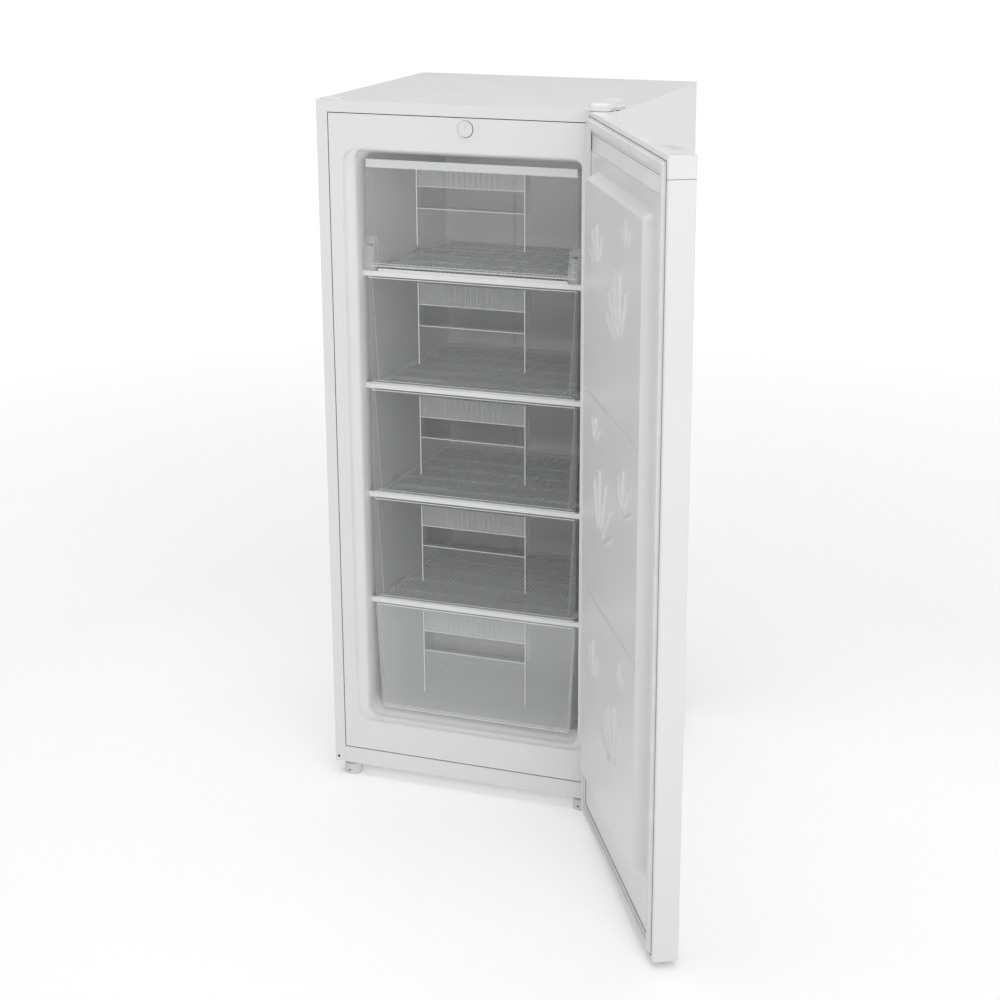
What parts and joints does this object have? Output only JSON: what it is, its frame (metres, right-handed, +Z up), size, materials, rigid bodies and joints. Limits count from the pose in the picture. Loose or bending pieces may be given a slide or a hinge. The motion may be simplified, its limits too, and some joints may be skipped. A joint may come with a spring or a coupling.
{
  "type": "upright freezer",
  "caption": "Free-standing upright freezer with a hinged door, clear pull-out drawers on wire-on-tube evaporator shelves, a drop-down flap and a rear condenser.",
  "frame": {"origin": "on the floor under the middle of the cabinet's footprint", "axes": "+X towards the hinge side, -Y out of the front, +Z up; the door stands open in the rest pose"},
  "size_m": [0.8071, 0.9941, 1.281],
  "materials": {
    "cabinet_steel": "white coat, satin",
    "zinc_sheet": "galvanised sheet",
    "liner_plastic": "white polystyrene, half gloss",
    "cap_plastic": "white moulded plastic",
    "knob_plastic": "light grey moulded plastic",
    "clear_plastic": "clear polystyrene",
    "evaporator_tube": "white coated steel tube and wire",
    "gasket_rubber": "white soft vinyl",
    "foam": "rigid polyurethane foam",
    "hinge_steel": "zinc plated",
    "foot_plastic": "grey nylon",
    "black_steel": "black coat, satin",
    "black_plastic": "black plastic",
    "motor_iron": "motor and pump block",
    "mount_rubber": "black rubber",
    "copper": "drawn copper"
  },
  "bodies": {
    "cabinet": {"outer_shell": "cabinet_steel", "rear_panel": "zinc_sheet", "bottom_panel": "zinc_sheet", "compressor_plate": "zinc_sheet", "front_sill": "cabinet_steel", "inner_liner": "liner_plastic", "cabinet_foam": "foam", "evaporator_riser": "evaporator_tube", "flap_bracket_left": "clear_plastic", "flap_bracket_right": "clear_plastic", "thermostat_body": "cap_plastic", "thermostat_bezel": "cap_plastic", "upper_hinge_bracket": "hinge_steel", "upper_hinge_cover": "cap_plastic", "lower_hinge_bracket": "hinge_steel", "hinge_screws": "hinge_steel", "hinge_hole_cap": "cap_plastic", "rear_feet": "foot_plastic", "compressor_shell": "black_steel", "compressor_motor": "motor_iron", "compressor_feet": "black_steel", "compressor_mounts": "mount_rubber", "terminal_cover": "black_plastic", "condenser": "black_steel", "condenser_clips": "black_plastic", "discharge_pipe": "copper", "suction_pipe": "copper", "filter_drier": "copper", "drain_tube": "cap_plastic", "cord_gland": "black_plastic", "evaporator_shelf_1": "evaporator_tube", "shelf_trim_1": "cap_plastic", "evaporator_shelf_2": "evaporator_tube", "shelf_trim_2": "cap_plastic", "evaporator_shelf_3": "evaporator_tube", "shelf_trim_3": "cap_plastic", "evaporator_shelf_4": "evaporator_tube", "shelf_trim_4": "cap_plastic"},
    "door": {"door_skin": "cabinet_steel", "door_top_cap": "cap_plastic", "door_bottom_cap": "cap_plastic", "door_liner": "liner_plastic", "door_foam": "foam", "door_gasket": "gasket_rubber", "door_bushes": "cap_plastic", "door_hole_plug": "cap_plastic"},
    "flap": {"flap": "clear_plastic"},
    "drawer_1": {"drawer_front_1": "clear_plastic", "drawer_box_1": "clear_plastic"},
    "drawer_2": {"drawer_front_2": "clear_plastic", "drawer_box_2": "clear_plastic"},
    "drawer_3": {"drawer_front_3": "clear_plastic", "drawer_box_3": "clear_plastic"},
    "drawer_4": {"drawer_front_4": "clear_plastic", "drawer_box_4": "clear_plastic"},
    "knob": {"thermostat_knob": "knob_plastic"},
    "foot_left": {"front_foot_left": "foot_plastic"},
    "foot_right": {"front_foot_right": "foot_plastic"}
  },
  "joints": [
    {"name": "door_hinge", "type": "hinge", "parent": "cabinet", "child": "door", "pos_m": [0.2529, -0.264, 0.64], "axis": [0, 0, 1], "range_deg": [-120.2, 0]},
    {"name": "flap_hinge", "type": "hinge", "parent": "cabinet", "child": "flap", "pos_m": [0, -0.2085, 0.981], "axis": [1, 0, 0], "range_deg": [0, 90]},
    {"name": "drawer_slide_1", "type": "slide", "parent": "cabinet", "child": "drawer_1", "axis": [0, -1, 0], "range_m": [0, 0.29]},
    {"name": "drawer_slide_2", "type": "slide", "parent": "cabinet", "child": "drawer_2", "axis": [0, -1, 0], "range_m": [0, 0.29]},
    {"name": "drawer_slide_3", "type": "slide", "parent": "cabinet", "child": "drawer_3", "axis": [0, -1, 0], "range_m": [0, 0.29]},
    {"name": "drawer_slide_4", "type": "slide", "parent": "cabinet", "child": "drawer_4", "axis": [0, -1, 0], "range_m": [0, 0.2]},
    {"name": "knob_turn", "type": "hinge", "parent": "cabinet", "child": "knob", "pos_m": [0.004, -0.232, 1.225], "axis": [0, -1, 0], "range_deg": [0, 270]},
    {"name": "foot_turn_left", "type": "hinge", "parent": "cabinet", "child": "foot_left", "pos_m": [-0.243, -0.2205, 0.02], "axis": [0, 0, 1], "range_deg": [-360, 360]},
    {"name": "foot_turn_right", "type": "hinge", "parent": "cabinet", "child": "foot_right", "pos_m": [0.213, -0.2205, 0.02], "axis": [0, 0, 1], "range_deg": [-360, 360]}
  ]
}
